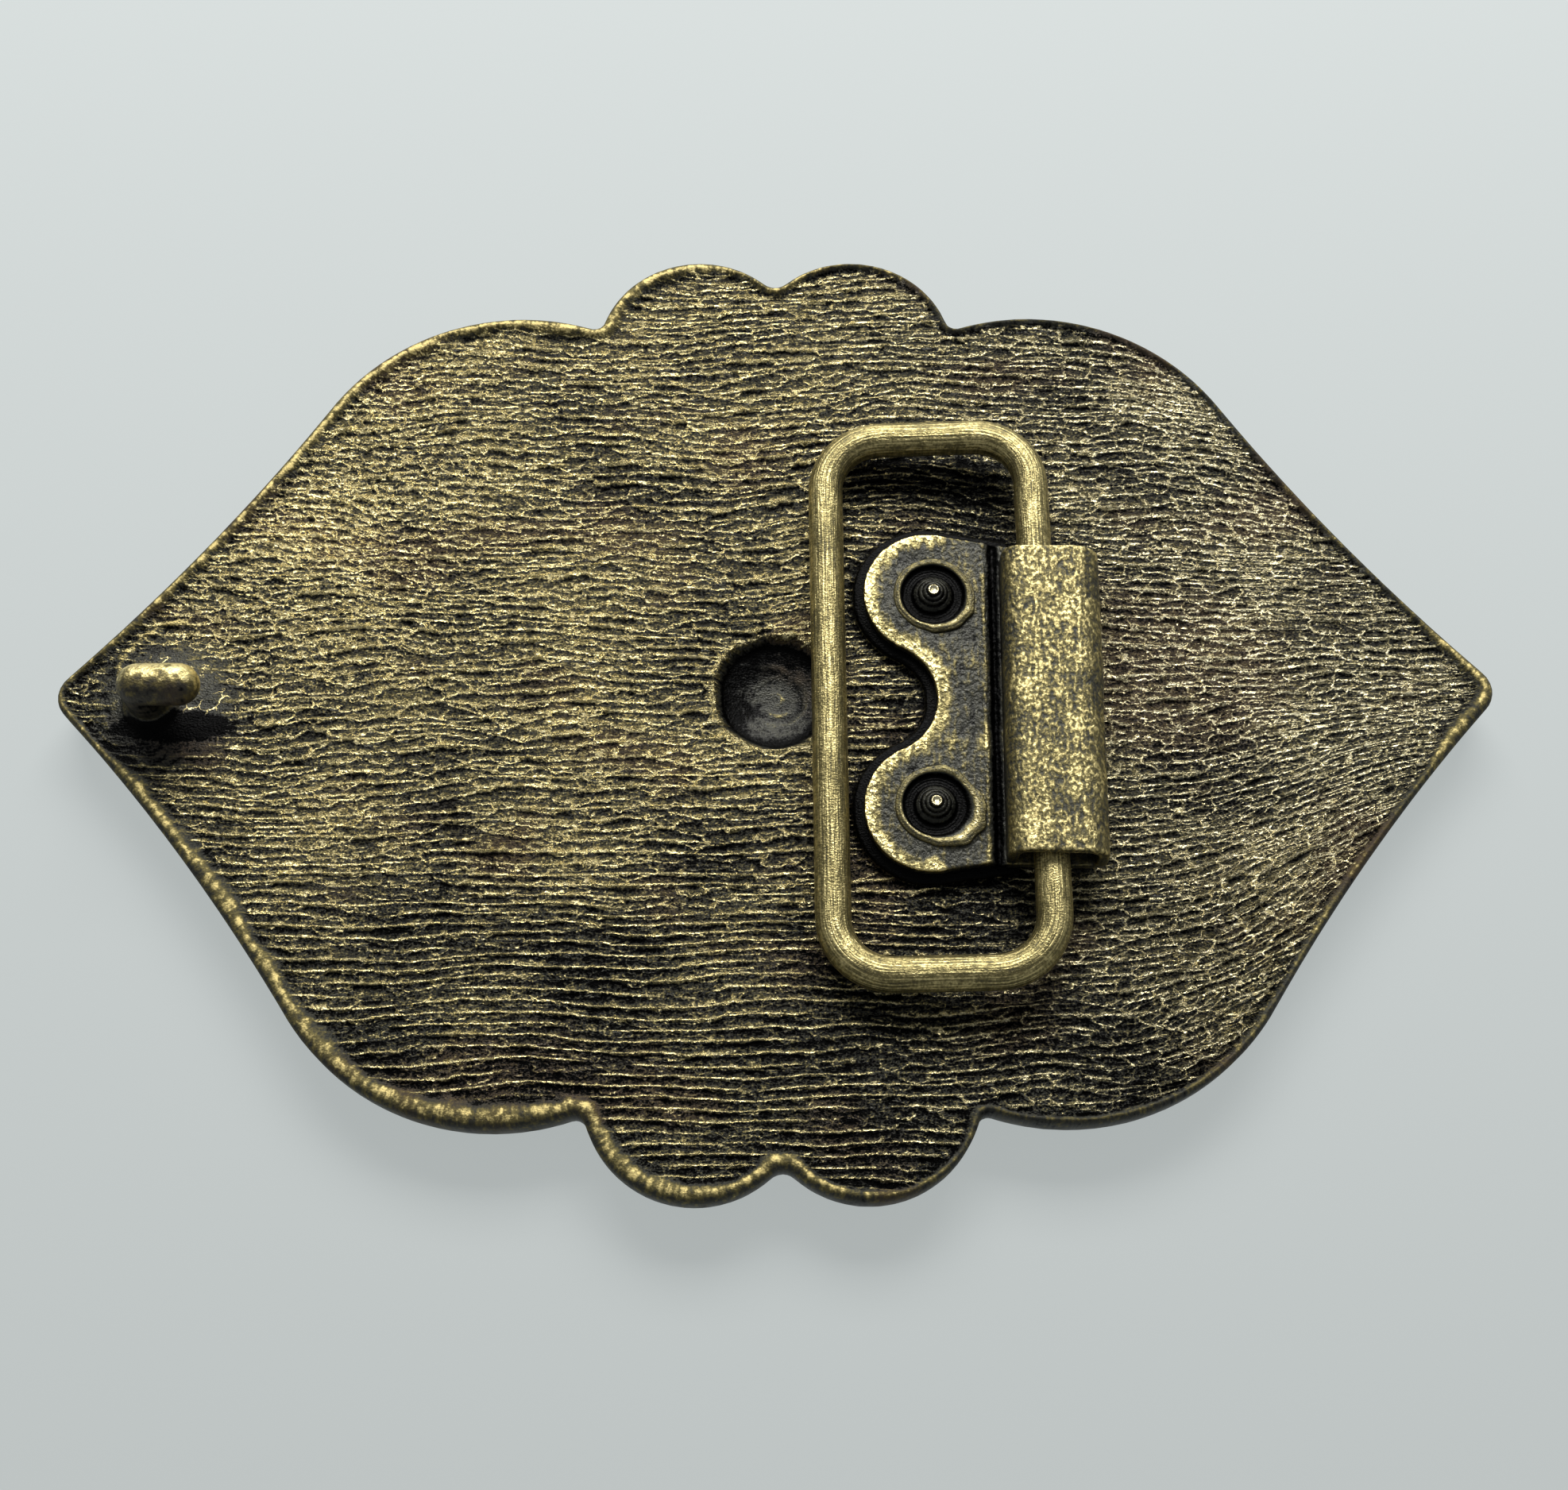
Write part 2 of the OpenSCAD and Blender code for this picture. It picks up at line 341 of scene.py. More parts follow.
elbow = (HOOK_X, HOOK_Y, BACK_Z + HOOK_H)
arm_end = (HOOK_X + HOOK_ARM, HOOK_Y, BACK_Z + HOOK_H)
blocks = [
    rod((HOOK_X, HOOK_Y, 3), elbow, HOOK_R, "hook_post"),
    rod((HOOK_X, HOOK_Y, 4), (HOOK_X, HOOK_Y, 5.2), 2.6, "hook_foot", HOOK_R),
    ball(elbow, HOOK_R * 0.995, "hook_elbow"),
    rod(elbow, arm_end, HOOK_R, "hook_arm"),
    ball(arm_end, HOOK_R, "hook_tip"),
]
print("hook:", len(blocks), "blocks")

# %% [markdown]
# The bracket stands on a low cast pad of its own shape, a little larger all round. Both have two
# round ears with a hollow waist between them, and both sit about one degree askew.

# %% The bracket's plan
ASKEW = math.radians(-1.2)
BRACKET_AT = (14.75, -1.05)
EAR_X, EAR_HALF, EAR_R, WAIST_X = -3.6, 8.5, 4.9, -3.05
PAD_Z, LEAF_Z = 4.7, 5.5


def on_plate(points):
    """Turns points of the bracket's own plan into the plate's."""
    p = np.asarray(points, float)
    c, s = math.cos(ASKEW), math.sin(ASKEW)
    return np.stack([c * p[:, 0] - s * p[:, 1], s * p[:, 0] + c * p[:, 1]], 1) + BRACKET_AT


def leaf_points(grow, right, half):
    """The leaf's edge: straight at the right, an arc round each ear and a hollow waist."""
    k = WAIST_X - EAR_X
    waist_r = (EAR_HALF ** 2 + k * k - EAR_R ** 2) / (2 * (k + EAR_R))
    waist = np.array([WAIST_X - waist_r, 0])
    ear = np.array([EAR_X, EAR_HALF])
    meet_angle = math.atan2(*(waist - ear)[::-1])
    upper = [(right, half + grow)]
    for t in np.linspace(math.pi / 2, meet_angle % (2 * math.pi), 60):
        upper.append((ear[0] + (EAR_R + grow) * math.cos(t), ear[1] + (EAR_R + grow) * math.sin(t)))
    start = math.atan2(*(ear - waist)[::-1])
    for t in np.linspace(start, 0, 24)[1:]:
        upper.append((waist[0] + (waist_r - grow) * math.cos(t), (waist_r - grow) * math.sin(t)))
    upper = np.array(upper)
    return np.vstack([upper, upper[-2::-1] * [1, -1]])


LEAF_HALF = 12.4
pad_edge = leaf_points(0.7, 2.6, LEAF_HALF)
blocks.append(slab_from(on_plate(pad_edge), 3.0, PAD_Z, "pad"))
print("pad loop:", len(pad_edge), "points")

# %% [markdown]
# Now the blocks are joined and remeshed. The voxel size decides how fine the relief can be: 0.16 mm
# is about a fifth of the distance between two wrinkles.

# %% Melt the blocks together
for block in blocks:
    settle(block)
select_only(plate)
for block in blocks:
    block.select_set(True)
bpy.ops.object.join()
VOXEL = 0.16
modify(plate, "REMESH", mode="VOXEL", voxel_size=VOXEL * MM, use_smooth_shade=True)
print("remeshed plate:", len(plate.data.polygons), "faces")

# %% [markdown]
# ## Large forms of the back and front
# These are heights over the table, worked out for every corner at once with numpy. On the back: a
# rim that is wide and round at the lower left and thin at the right, a field inside it, the round
# dimple with a spiral left by the wax tool, and a low lump under the hook. On the hidden front: a
# plain border and the flat boss that the buckle lies on.

# %% Smooth steps and soft noise
def step_up(a, b, x):
    t = np.clip((x - a) / (b - a), 0, 1)
    return t * t * (3 - 2 * t)


def bell(x, middle, width):
    """1 at the middle, falling away softly on both sides."""
    return np.exp(-((x - middle) / width) ** 2)


def soft_noise(x, y, size, seed):
    """Smooth random hills between -1 and 1, about size millimetres wide."""
    table_of = np.random.default_rng(seed).random((256, 256)) * 2 - 1
    u, v = x / size + 100, y / size + 100
    i, j = np.floor(u).astype(int), np.floor(v).astype(int)
    fu, fv = u - i, v - j
    fu, fv = fu * fu * (3 - 2 * fu), fv * fv * (3 - 2 * fv)
    a, b = table_of[i % 256, j % 256], table_of[(i + 1) % 256, j % 256]
    c, d = table_of[i % 256, (j + 1) % 256], table_of[(i + 1) % 256, (j + 1) % 256]
    return (a * (1 - fu) + b * fu) * (1 - fv) + (c * (1 - fu) + d * fu) * fv


# %% Heights of the back
DIMPLE_AT, DIMPLE_DEPTH, SWIRL_PITCH = (-0.25, 0.15), 1.95, 0.95
BOW_AT, BOW_R = (-44.6, 1.4), 4.4


def rim_width(x, y):
    """The rim is broad at the lower left, and little more than a line at the right."""
    left = step_up(12, -12, x) * step_up(-52, -42, x)
    low = step_up(6, -8, y)
    high_left = left * (1 - low)
    width = 0.5 + 0.95 * left * low + 0.45 * high_left + 0.1 * low * (1 - left)
    width = width + 0.5 * step_up(46, 52, x)
    ragged = 0.28 * soft_noise(x, y, 3.1, 1) + (0.12 + 0.2 * high_left) * soft_noise(x, y, 1.1, 2)
    return width * (1 + ragged)


def bow_ridge(x, y, inset):
    """A thin bow-shaped ridge in the metal, to the upper left of the hook: 1 on its crest."""
    dx, dy = x - BOW_AT[0], y - BOW_AT[1]
    turn = np.degrees(np.arctan2(dy, dx))
    bow = np.hypot(dx, dy) + 0.25 * soft_noise(x, y, 1.5, 14)
    return bell(bow, BOW_R, 0.22) * step_up(60, 95, turn) * step_up(0.5, 1.2, inset)


def back_height(x, y, inset):
    width = rim_width(x, y)
    z = RIM_Z - 0.4 * step_up(0.55 * width, 1.15 * width, inset)
    gutter = step_up(0.9 * width, 1.3 * width, inset) * step_up(3.2 * width, 1.4 * width, inset)
    z = z - 0.07 * gutter
    lumps = soft_noise(x, y, 1.6, 3) + 0.5 * soft_noise(x, y, 0.8, 4)
    high_left = step_up(4, -10, x) * step_up(-4, 8, y)
    z = z + (0.018 + 0.08 * high_left) * lumps * step_up(0.3, 0.8, inset) * step_up(3, 1, inset)
    # Dimple
    dx, dy = x - DIMPLE_AT[0], y - DIMPLE_AT[1]
    turn = np.arctan2(dy, dx)
    r = np.hypot(dx, dy) * (1 + 0.025 * soft_noise(3 * np.cos(turn), 3 * np.sin(turn), 1, 5))
    sunk = 0.6 * step_up(4.75, 3.9, r) + 0.4 * step_up(4.3, 1.2, r)
    turns = (r - 0.45 - 0.15 * soft_noise(x, y, 0.8, 6)) / SWIRL_PITCH - turn / (2 * math.pi)
    swirl = bell(turns, np.round(turns), 0.2) * step_up(-0.6, 0.5, soft_noise(x, y, 1.3, 8))
    swirl = swirl * step_up(3.0, 2.2, r) * step_up(0.2, 0.5, r)
    z = z - DIMPLE_DEPTH * sunk - 0.10 * step_up(3.6, 0, r) + 0.15 * swirl
    z = z + 0.05 * soft_noise(x, y, 0.9, 9) * sunk
    raised_edge = step_up(4.4, 4.8, r) * step_up(5.6, 4.9, r)
    z = z + 0.16 * raised_edge * (0.35 + 0.65 * step_up(2, -3, dx + dy))
    # Lump under the hook, with flow lines round it
    r = np.hypot(x - HOOK_X, y - HOOK_Y)
    z = z + 0.45 * (1 - np.clip(r / 5.2, 0, 1) ** 2) ** 2
    z = z + 0.24 * bow_ridge(x, y, inset)
    flow = np.sin(2 * math.pi * (r + 0.8 * soft_noise(x, y, 2.2, 7)) / 1.15)
    flow = flow * step_up(-0.2, 0.7, soft_noise(x, y, 1.9, 10)) * step_up(0.5, 1.5, inset)
    return z + 0.05 * flow * step_up(2.2, 3.4, r) * step_up(8.5, 5.5, r)


# %% Move the corners
NEAR = 0.03
BOSS_R, BOSS_EDGE, BOSS_RISE = 12.3, 14.2, 1.6
INSIDE_BOX = 0.9995
co = corners_of(plate)
x, y, z = co.T
inset, along_edge = inside_by(x, y)
on_top = np.abs(z - RIM_Z) < NEAR
under = np.abs(z - BORDER_Z) < NEAR
near_top = (z > 3.2) & ~on_top & (inset < 0.9) & (z <= RIM_Z + NEAR)
height = back_height(x, y, inset)
z_new = np.where(on_top, height, z)
z_new = np.where(near_top, z + (height - RIM_Z) * step_up(3.2, RIM_Z, z), z_new)
from_middle = np.hypot(x, y)
front = BORDER_Z + 0.4 * step_up(3.6, 4.4, inset)
boss = BOSS_RISE * step_up(BOSS_R, BOSS_EDGE, from_middle)
front = np.where(from_middle < BOSS_EDGE, np.minimum(front, boss), front)
co[:, 2] = np.where(under, front, z_new)
co[:, :2] *= INSIDE_BOX
put_corners(plate, co)

# %% Where the wrinkles fade, and where the rim is
fade = step_up(0.75, 1.35, inset / rim_width(x, y)) * (on_top & (inset > 0.2))
fade = fade * (1 - 0.92 * step_up(4.7, 4.1, np.hypot(x - DIMPLE_AT[0], y - DIMPLE_AT[1])))
fade = fade * (1 - 0.85 * step_up(7.2, 3.2, np.hypot(x - HOOK_X - 1, y - HOOK_Y)))
store(plate, "wrinkle", fade)
rim = step_up(1.2, 0.85, inset / rim_width(x, y)) * (z > 2)
store(plate, "rim", np.maximum(rim, on_top * bow_ridge(x, y, inset)))
store(plate, "along_edge", along_edge)
modify(plate, "SMOOTH", factor=0.5, iterations=2)
print("sunk field:", int(on_top.sum()), "corners on the back")

# %% [markdown]
# ## The wrinkles, drawn once for the shape and for the finish
# The back looks like crumpled skin: long thin ridges about 0.8 mm apart, joined by short crooked
# ones, so that they close off flat little cells. The same few texture nodes can run in Geometry
# Nodes, where they move the surface, and in a material, where they say which crests are worn. They
# are therefore written as one function that draws them into either kind of node tree.

# %% A pen for node trees
class Pen:
    """Adds nodes to a tree and returns their output sockets."""

    def __init__(self, tree):
        self.tree = tree

    def plug(self, socket, value):
        """Gives a socket a plain value, or links it to another node's output."""
        if isinstance(value, (int, float, tuple, str)):
            socket.default_value = value
        else:
            self.tree.links.new(value, socket)

    def node(self, kind, inputs=(), **settings):
        """A new node, with its settings made and its inputs plugged by name or number."""
        made = self.tree.nodes.new(kind)
        for key, value in settings.items():
            setattr(made, key, value)
        for key, value in dict(inputs).items():
            self.plug(made.inputs[key], value)
        return made

    def math(self, operation, *values):
        return self.node("ShaderNodeMath", enumerate(values), operation=operation).outputs[0]

    def chain(self, operation, values):
        """Joins any number of values two by two."""
        total = values[0]
        for value in values[1:]:
            total = self.math(operation, total, value)
        return total

    def add(self, *values):
        return self.chain("ADD", values)

    def times(self, *values):
        return self.chain("MULTIPLY", values)

    def most(self, *values):
        return self.chain("MAXIMUM", values)

    def less(self, a, b):
        return self.math("SUBTRACT", a, b)

    def weigh(self, base, *parts):
        """A base plus every part, where a part is a few values multiplied together."""
        return self.add(base, *[self.times(*part) for part in parts])

    def smooth(self, value, low, high):
        """0 below low and 1 above high, with a soft step between them, or the other way round."""
        flip = float(low > high)
        span = {"From Min": min(low, high), "From Max": max(low, high)}
        made = self.node(
            "ShaderNodeMapRange", {"Value": value, **span, "To Min": flip, "To Max": 1 - flip},
            interpolation_type="SMOOTHSTEP")
        return made.outputs["Result"]

    def band(self, value, start, full, full_end, end):
        """1 inside a band and 0 outside it, with a soft step at either side."""
        return self.times(self.smooth(value, start, full), self.smooth(value, end, full_end))

    def point(self, *values):
        return self.node("ShaderNodeCombineXYZ", enumerate(values)).outputs[0]

    def noise(self, x, y, fx, fy, detail=2.0, shift=0.0, z=None):
        """Noise between about -0.5 and 0.5: flat, unless the surface stands up and z is given."""
        place = [self.math("MULTIPLY_ADD", x, fx, shift), self.times(y, fy)]
        if z is not None:
            place.append(self.times(z, fy))
        made = self.node(
            "ShaderNodeTexNoise", {"Vector": self.point(*place), "Scale": 1.0, "Detail": detail},
            noise_dimensions=f"{len(place)}D")
        return self.less(made.outputs[0], 0.5)

    def shingles(self, x, y, width, height):
        """Random cells: how far down in its cell a point lies, and how near the cell's border."""
        x, y = self.math("DIVIDE", x, width), self.math("DIVIDE", y, height)
        middle, edge = [
            self.node(
                "ShaderNodeTexVoronoi", {"Vector": self.point(x, y), "Scale": 1.0},
                feature=feature, voronoi_dimensions="2D").outputs
            for feature in ("F1", "DISTANCE_TO_EDGE")]
        middle = self.node("ShaderNodeSeparateXYZ", {0: middle["Position"]}).outputs
        return self.less(middle[1], y), edge["Distance"]


# %% The wrinkles themselves
ROW_PITCH = 0.82


def bent_rows(pen, x, y):
    """A number that grows by one pitch from row to row, bent as the rows of the casting are."""
    # The rows run up to the right at the lower right and down at the upper right
    row = pen.weigh(y, (pen.noise(x, y, 0.035, 0.06), 4.0))
    past = pen.most(pen.less(x, 22), 0.0)
    row = pen.less(row, pen.times(past, past, pen.smooth(y, 4, -16), 0.019))
    high_right = pen.times(pen.smooth(x, 24, 44), pen.smooth(y, 3, 16))
    return pen.weigh(
        row, (high_right, pen.less(x, 24), 0.15), (pen.noise(x, y, 0.14, 0.35), 0.55),
        (pen.noise(x, y, 0.7, 1.5), 0.2), (pen.noise(x, y, 2.8, 3.4, shift=9.0), 0.15))


def wrinkles(pen, x, y):
    """Returns the height in millimetres, the crests from 0 to 1, and the height without borders."""
    row = bent_rows(pen, x, y)
    across = pen.weigh(x, (pen.noise(x, y, 0.7, 1.6, shift=31.0), 1.6))
    # Long ripples, gentle on the upper side and steep on the lower one
    share = pen.math("FRACT", pen.math("DIVIDE", row, ROW_PITCH))
    steep, gentle = pen.math("DIVIDE", share, 0.2), pen.math("DIVIDE", pen.less(1.0, share), 0.8)
    ripple = pen.math("MINIMUM", steep, gentle)
    net, scaly = pen.smooth(x, 2, 26), pen.smooth(x, 16, -16)
    lined = pen.times(pen.smooth(x, 14, 0), pen.smooth(y, -6, -22))
    whole = pen.weigh(pen.noise(x, y, 0.09, 0.7, shift=57.0), (scaly, -0.07), (lined, 0.11))
    whole = pen.smooth(whole, -0.15, 0.03)
    # Towards the right the ripples break up into dashes
    dashes = pen.smooth(pen.noise(x, y, 0.55, 1.4, shift=71.0), -0.10, 0.05)
    dashes = pen.most(pen.less(1.0, net), dashes)
    long_crest = pen.times(pen.smooth(ripple, 0.78, 0.95), whole, dashes)
    # Flat cells like scales, each higher along its lower border
    # At the right the borders are thinner, and bright all round the cell
    shingle, near = pen.shingles(across, row, 1.9, ROW_PITCH)
    border = pen.smooth(pen.times(near, pen.weigh(1.0, (net, 0.7))), 0.15, 0.02)
    lip = pen.times(border, pen.most(pen.smooth(shingle, -0.05, 0.4), pen.times(net, 0.7)))
    lip = pen.times(lip, pen.weigh(1.0, (lined, -0.3)))
    small_shingle, small_near = pen.shingles(across, row, 0.75, 0.42)
    small_lip = pen.times(pen.smooth(small_near, 0.18, 0.02), pen.smooth(small_shingle, -0.05, 0.3))
    # Round pebbles towards the upper left
    pebbly = pen.times(pen.smooth(x, -16, -32), pen.smooth(y, -6, 8))
    pebble, pebble_near = pen.shingles(across, pen.weigh(row, (x, 0.3)), 0.85, 0.7)
    pebble_lip = pen.times(pen.smooth(pebble_near, 0.2, 0.02), pen.smooth(pebble, -0.3, 0.3))
    grain = pen.noise(x, y, 2.4, 3.2, detail=3.0)
    plain = pen.weigh(
        -0.15, (ripple, whole, pen.weigh(0.13, (lined, 0.05))),
        (shingle, pen.weigh(0.15, (lined, -0.07))), (small_shingle, 0.08), (long_crest, 0.05),
        (grain, 0.22), (pebble, pebbly, 0.12))
    height = pen.weigh(plain, (lip, 0.06), (border, -0.03))
    crest = pen.most(
        long_crest, pen.times(lip, 0.9), pen.times(small_lip, 0.45),
        pen.times(pebble_lip, pebbly, 0.8))
    return height, crest, plain


# %% [markdown]
# Geometry Nodes then lifts each corner by the wrinkles' height, as far as the mask made above
# allows. A second tree measures how much each place stands out from its blurred neighbourhood.
# That is where a cloth rubs the black finish away, so it is kept for the materials.

# %% Lift the wrinkles and measure the edges
def node_modifier(name):
    """A new Geometry Nodes tree, a pen inside it, and its two ends."""
    tree = bpy.data.node_groups.new(name, "GeometryNodeTree")
    tree.interface.new_socket("Geometry", in_out="INPUT", socket_type="NodeSocketGeometry")
    tree.interface.new_socket("Geometry", in_out="OUTPUT", socket_type="NodeSocketGeometry")
    pen = Pen(tree)
    return tree, pen, pen.node("NodeGroupInput").outputs[0], pen.node("NodeGroupOutput").inputs[0]


def place_in_mm(pen, position):
    split = pen.node("ShaderNodeSeparateXYZ", {0: position})
    return [pen.times(output, 1 / MM) for output in split.outputs]


lift, pen, geometry, result = node_modifier("lift_wrinkles")
px, py, _ = place_in_mm(pen, pen.node("GeometryNodeInputPosition").outputs[0])
mask = pen.node("GeometryNodeInputNamedAttribute", {"Name": "wrinkle"}, data_type="FLOAT")
height = pen.times(wrinkles(pen, px, py)[0], mask.outputs["Attribute"], MM)
offset = pen.point(0.0, 0.0, height)
move = pen.node("GeometryNodeSetPosition", {"Geometry": geometry, "Offset": offset})
pen.plug(result, move.outputs[0])
modify(plate, "NODES", node_group=lift)


def stand_out_tree(name, rounds, reach):
    """A tree that stores how far each place stands out from its surroundings, as -1 to 1."""
    def vector_of(sockets):
        return next(s for s in sockets if s.type == "VECTOR" and s.enabled)

    tree, pen, geometry, result = node_modifier(name)
    position = pen.node("GeometryNodeInputPosition").outputs[0]
    normal = pen.node("GeometryNodeInputNormal").outputs[0]
    blur = pen.node("GeometryNodeBlurAttribute", {"Iterations": rounds}, data_type="FLOAT_VECTOR")
    pen.plug(vector_of(blur.inputs), position)
    out = pen.node(
        "ShaderNodeVectorMath", {0: position, 1: vector_of(blur.outputs)}, operation="SUBTRACT")
    dot = pen.node(
        "ShaderNodeVectorMath", {0: out.outputs[0], 1: normal}, operation="DOT_PRODUCT")
    keep = pen.node(
        "GeometryNodeStoreNamedAttribute", {"Geometry": geometry, "Name": "stands_out"},
        data_type="FLOAT", domain="POINT")
    value_in = next(s for s in keep.inputs if s.name == "Value" and s.enabled)
    raw = pen.times(dot.outputs["Value"], 1 / (reach * MM))
    pen.plug(value_in, pen.math("MINIMUM", pen.most(raw, -1.0), 1.0))
    pen.plug(result, keep.outputs[0])
    return tree


def triangle_count(obj):
    return sum(len(p.vertices) - 2 for p in obj.data.polygons)


def thin_out(obj, most):
    """Collapses the flattest faces until about this many triangles are left."""
    before = triangle_count(obj)
    if before > most:
        modify(obj, "DECIMATE", ratio=most / before)
    print(obj.name, "thinned from", before, "triangles to", triangle_count(obj))


modify(plate, "NODES", node_group=stand_out_tree("plate_edges", 6, 0.07))
thin_out(plate, 190000)
shade_smooth(plate)

# %% [markdown]
# ## Antique brass
# All four finishes share two effects, so each effect is a node group that is built once. The first
# turns an amount of rubbing into colour, metalness and roughness: soot, then patina, then olive
# brass, then bright brass. The second gives three sizes of fine mottling. What the amount is made
# of differs from piece to piece and stays in each material. On the plate, the post heads and the
# bracket, the amount also carries painted shade and painted highlights, not only rubbing.

# %% Colours of the finish
BRASS, PALE, OLIVE = (0.76, 0.64, 0.30, 1), (0.86, 0.80, 0.58, 1), (0.19, 0.16, 0.066, 1)
PATINA, EARTH, SOOT = (0.036, 0.036, 0.027, 1), (0.078, 0.046, 0.024, 1), (0.005, 0.005, 0.005, 1)


def blend(pen, factor, a, b):
    made = pen.node("ShaderNodeMix", {"Factor": factor}, data_type="RGBA")
    colours = [s for s in made.inputs if s.type == "RGBA"]
    pen.plug(colours[0], a)
    pen.plug(colours[1], b)
    return next(s for s in made.outputs if s.type == "RGBA")


def effect(name, takes, gives):
    """A new node group with number inputs and the outputs named, a pen inside it and its ends."""
    tree = bpy.data.node_groups.new(name, "ShaderNodeTree")
    for title in takes:
        tree.interface.new_socket(title, in_out="INPUT", socket_type="NodeSocketFloat")
    for title, kind in gives.items():
        tree.interface.new_socket(title, in_out="OUTPUT", socket_type=kind)
    pen = Pen(tree)
    return tree, pen, pen.node("NodeGroupInput").outputs, pen.node("NodeGroupOutput").inputs


# %% Effect: rubbing
rubbing, pen, takes, gives = effect(
    "rubbed_brass", ["Amount", "Bright from", "Bright to", "Pale", "Earth"],
    {"Color": "NodeSocketColor", "Metallic": "NodeSocketFloat", "Roughness": "NodeSocketFloat"})
reach = pen.less(takes["Bright to"], takes["Bright from"])
share = pen.math("DIVIDE", pen.less(takes["Amount"], takes["Bright from"]), reach)
worn = pen.smooth(share, 0.0, 1.0)
tarnish = pen.smooth(share, -1.9, -0.9)
tone = blend(pen, tarnish, SOOT, PATINA)
tone = blend(pen, pen.smooth(share, -0.9, 0.3), tone, OLIVE)
tone = blend(pen, pen.times(takes["Earth"], tarnish), tone, EARTH)
pen.plug(gives["Color"], blend(pen, worn, tone, blend(pen, takes["Pale"], BRASS, PALE)))
bare = pen.most(pen.smooth(share, -0.9, 0.6), pen.smooth(share, -1.3, -2.1))
pen.plug(gives["Metallic"], pen.weigh(0.5, (bare, 0.5)))
pen.plug(gives["Roughness"], pen.weigh(0.36, (worn, -0.10)))

# %% Effect: mottling
mottling, pen, takes, gives = effect(
    "mottled_metal", ["Shift"], dict.fromkeys(["Fine", "Speckles", "Clouds"], "NodeSocketFloat"))
px, py, pz = place_in_mm(pen, pen.node("ShaderNodeTexCoord").outputs["Object"])
sx = pen.add(px, takes["Shift"])
pen.plug(gives["Fine"], pen.noise(sx, py, 5.6, 7.0, detail=3.0))
pen.plug(gives["Speckles"], pen.noise(sx, py, 2.1, 1.9, detail=4.0, shift=40.0, z=pz))
pen.plug(gives["Clouds"], pen.noise(sx, py, 0.30, 0.30, detail=3.0, shift=80.0))


def attribute(pen, name):
    return pen.node("ShaderNodeAttribute", attribute_name=name).outputs["Fac"]


def metal(name, shift):
    """A new material: also its pen, its shader, the place in mm and the three mottlings."""
    material = bpy.data.materials.new(name)
    material.use_nodes = True
    pen = Pen(material.node_tree)
    shader = material.node_tree.nodes["Principled BSDF"]
    where = pen.node("ShaderNodeTexCoord").outputs["Object"]
    spots = pen.node("ShaderNodeGroup", {"Shift": shift}, node_tree=mottling)
    return material, pen, shader, place_in_mm(pen, where), spots.outputs


def finish(pen, shader, amount, start, end, rougher, pale=0.0, earth=0.0):
    """Feeds the rubbing to the shader. Pale makes the brass paler, earth the patina redder."""
    rubbed = pen.node(
        "ShaderNodeGroup", enumerate((amount, start, end, pale, earth)), node_tree=rubbing).outputs
    pen.plug(shader.inputs["Base Color"], rubbed["Color"])
    pen.plug(shader.inputs["Metallic"], rubbed["Metallic"])
    pen.plug(shader.inputs["Roughness"], pen.add(rubbed["Roughness"], rougher))


def bump(pen, shader, height, depth):
    """Fine relief that is too small for the mesh. Depth is in millimetres."""
    made = pen.node(
        "ShaderNodeBump", {"Strength": 1.0, "Distance": depth * MM, "Height": height})
    pen.plug(shader.inputs["Normal"], made.outputs[0])


# %% [markdown]
# On the plate, brass shows on the wrinkles' crests, along the rim, on the hook, and in a fine grain
# that is dense left of the middle and sparse at the right. First come the masks, each of which is 1
# on one part of the plate and 0 elsewhere.

# %% Masks for the parts of the plate
def off_centre(pen, x, y, at, size=(1, 1)):
    """How far a point lies from a place, counted in sizes."""
    dx = pen.math("DIVIDE", pen.less(x, at[0]), size[0])
    dy = pen.math("DIVIDE", pen.less(y, at[1]), size[1])
    return pen.math("SQRT", pen.add(pen.times(dx, dx), pen.times(dy, dy)))


def patch(pen, x, y, at, size):
    """A soft round patch: 1 in its middle and 0 past its size."""
    return pen.smooth(off_centre(pen, x, y, at, size), 1.0, 0.5)


cast_brass, pen, shader, (px, py, pz), (fine_spots, speckles, clouds) = metal("cast_brass", 0.0)
out, field = attribute(pen, "stands_out"), attribute(pen, "wrinkle")
rim, along_edge = attribute(pen, "rim"), attribute(pen, "along_edge")
left, middle_right = pen.band(px, -54, -34, -14, 24), pen.band(px, 0, 24, 44, 50)
right, low = pen.smooth(px, 20, 36), pen.smooth(py, -6, -22)
low_left, bottom = pen.times(low, pen.smooth(px, 18, 2)), pen.smooth(py, -16, -30)
foil, high_right = pen.times(right, low), pen.times(pen.smooth(px, 4, 20), pen.smooth(py, 8, 24))
in_window = pen.times(pen.band(px, 3.5, 5.5, 17.5, 19.5), pen.band(py, -23, -20.5, 18.5, 21))
# Painted shade: the pad's top round the bracket is painted black, as the shade beside the bracket.
pad = pen.times(in_window, pen.band(pz, 4.36, 4.5, 5.2, 5.4))
ground = pen.smooth(pz, 5.2, 4.8)
# Painted shadow: a dark band on the plate just below the bail's top bar.
painted_bar_shadow = pen.times(
    pen.band(px, 4.5, 7.0, 16, 18), pen.smooth(py, 15.0, 17.6), ground, in_window)
hook = pen.times(pen.smooth(px, -40, -41.4), pen.smooth(pz, 5.2, 6.2))
by_hook = pen.times(patch(pen, px, py, (-45.0, 1.0), (9.5, 9.0)), ground)
# Painted shadow: a black patch on the plate below the hook.
painted_hook_shadow = patch(pen, px, pen.weigh(py, (speckles, 0.8)), (-44.4, -2.55), (5.2, 1.35))
painted_hook_shadow = pen.times(painted_hook_shadow, ground)
off_middle = off_centre(pen, px, py, (0, 0))
dimple = pen.times(pen.smooth(off_middle, 4.5, 3.8), pen.smooth(pz, 5, 4.5))
